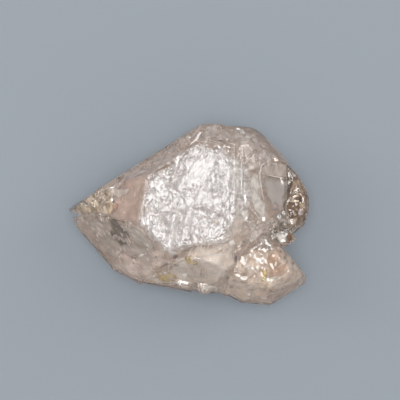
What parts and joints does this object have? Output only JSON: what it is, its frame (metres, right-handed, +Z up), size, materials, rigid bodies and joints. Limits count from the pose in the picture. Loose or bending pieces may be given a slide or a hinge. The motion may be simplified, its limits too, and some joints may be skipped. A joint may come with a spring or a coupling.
{
  "type": "herkimer diamond",
  "caption": "Cluster of clear, doubly terminated quartz crystals grown together side by side, with a bright etched front plate. It rests on a flat face at its back.",
  "frame": {"origin": "on the resting face, under the middle of the cluster's box", "axes": "+X along the longest side, towards the smoky end; +Y across it; +Z up, out of the bright front plate"},
  "size_m": [0.0582, 0.0434, 0.0297],
  "materials": {
    "quartz": "clear, faintly smoky"
  },
  "bodies": {
    "root": {"crystal": "quartz"}
  },
  "joints": []
}
